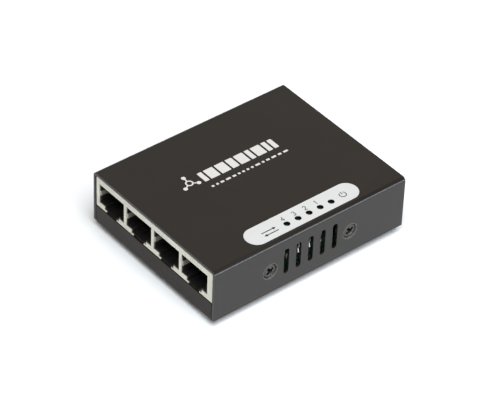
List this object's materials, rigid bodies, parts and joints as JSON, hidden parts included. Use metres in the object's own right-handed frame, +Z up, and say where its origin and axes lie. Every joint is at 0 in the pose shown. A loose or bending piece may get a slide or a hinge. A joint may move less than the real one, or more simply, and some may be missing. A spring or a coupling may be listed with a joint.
{
  "type": "desktop network switch",
  "caption": "Small desktop network switch: folded steel box with a ganged socket block, indicator light label, side vents, rubber feet and a barrel power inlet.",
  "frame": {"origin": "under the middle of the box, on the surface the rubber feet stand on", "axes": "+Z up, sockets face -Y, the power inlet is on the +Y side, the indicator label lies along the +X edge"},
  "size_m": [0.0612, 0.0764, 0.0222],
  "materials": {
    "cover_paint": "fine-textured satin powder coat, warm brown-black",
    "base_paint": "fine-textured satin powder coat, dark grey",
    "screw_steel": "nickel-plated steel, slightly dulled",
    "label_vinyl": "printed white vinyl, satin",
    "rating_film": "silver polyester label, satin",
    "foot_rubber": "matt moulded rubber",
    "standoff_brass": "turned brass",
    "insulator_film": "translucent polyester film",
    "board_laminate": "green solder resist over glass laminate",
    "housing_plastic": "pale ivory-grey moulded nylon, satin",
    "carrier_plastic": "black moulded nylon, satin",
    "contact_gold": "gold-plated phosphor bronze",
    "led_epoxy": "clear tinted epoxy lens",
    "tinned_metal": "tin-plated, softly bright",
    "inlet_plastic": "black moulded plastic",
    "chip_epoxy": "moulded epoxy, fine grain",
    "crystal_can": "drawn nickel-plated can",
    "ferrite": "sintered ferrite, matt",
    "capacitor_sleeve": "shrunk plastic sleeve",
    "resistor_body": "glazed film on ceramic",
    "capacitor_ceramic": "sintered ceramic"
  },
  "bodies": {
    "switch_box": {"top_cover": "cover_paint", "base_chassis": "base_paint", "cover_screws": "screw_steel", "led_label": "label_vinyl", "rating_label": "rating_film", "rubber_feet": "foot_rubber", "board_standoffs": "standoff_brass", "board_screws": "screw_steel", "insulating_sheet": "insulator_film", "circuit_board": "board_laminate", "jack_housing": "housing_plastic", "jack_rear_plate": "carrier_plastic", "contact_carrier_1": "carrier_plastic", "contact_carrier_2": "carrier_plastic", "contact_carrier_3": "carrier_plastic", "contact_carrier_4": "carrier_plastic", "contact_leads_1": "contact_gold", "contact_leads_2": "contact_gold", "contact_leads_3": "contact_gold", "contact_leads_4": "contact_gold", "link_led_1": "led_epoxy", "link_led_2": "led_epoxy", "link_led_3": "led_epoxy", "link_led_4": "led_epoxy", "power_led": "led_epoxy", "led_leads": "tinned_metal", "dc_jack_housing": "inlet_plastic", "dc_jack_pin": "tinned_metal", "dc_jack_sleeve_terminal": "tinned_metal", "dc_jack_shunt_contact": "tinned_metal", "lan_transformer_1": "chip_epoxy", "lan_transformer_2": "chip_epoxy", "lan_transformer_leads": "tinned_metal", "switch_chip": "chip_epoxy", "switch_chip_leads": "tinned_metal", "crystal": "crystal_can", "config_memory": "chip_epoxy", "voltage_regulator": "chip_epoxy", "small_chip_leads": "tinned_metal", "power_inductor": "ferrite", "input_capacitor": "capacitor_sleeve", "output_capacitor": "capacitor_sleeve", "protection_diode": "chip_epoxy", "chip_resistors": "resistor_body", "chip_capacitors": "capacitor_ceramic"},
    "port_1_contacts": {"contact_springs_1": "contact_gold"},
    "port_2_contacts": {"contact_springs_2": "contact_gold"},
    "port_3_contacts": {"contact_springs_3": "contact_gold"},
    "port_4_contacts": {"contact_springs_4": "contact_gold"},
    "inlet_leaf": {"dc_jack_spring": "tinned_metal"}
  },
  "joints": [
    {"name": "port_1_contact_flex", "type": "hinge", "parent": "switch_box", "child": "port_1_contacts", "pos_m": [-0.02145, -0.03435, 0.01885], "axis": [1, 0, 0], "range_deg": [0, 12], "stiffness_Nm_per_rad": 0.4},
    {"name": "port_2_contact_flex", "type": "hinge", "parent": "switch_box", "child": "port_2_contacts", "pos_m": [-0.00749, -0.03435, 0.01885], "axis": [1, 0, 0], "range_deg": [0, 12], "stiffness_Nm_per_rad": 0.4},
    {"name": "port_3_contact_flex", "type": "hinge", "parent": "switch_box", "child": "port_3_contacts", "pos_m": [0.00649, -0.03435, 0.01885], "axis": [1, 0, 0], "range_deg": [0, 12], "stiffness_Nm_per_rad": 0.4},
    {"name": "port_4_contact_flex", "type": "hinge", "parent": "switch_box", "child": "port_4_contacts", "pos_m": [0.02046, -0.03435, 0.01885], "axis": [1, 0, 0], "range_deg": [0, 12], "stiffness_Nm_per_rad": 0.4},
    {"name": "inlet_leaf_flex", "type": "hinge", "parent": "switch_box", "child": "inlet_leaf", "pos_m": [-0.015, 0.0274, 0.01167], "axis": [-1, 0, 0], "range_deg": [0, 5], "stiffness_Nm_per_rad": 0.2}
  ]
}
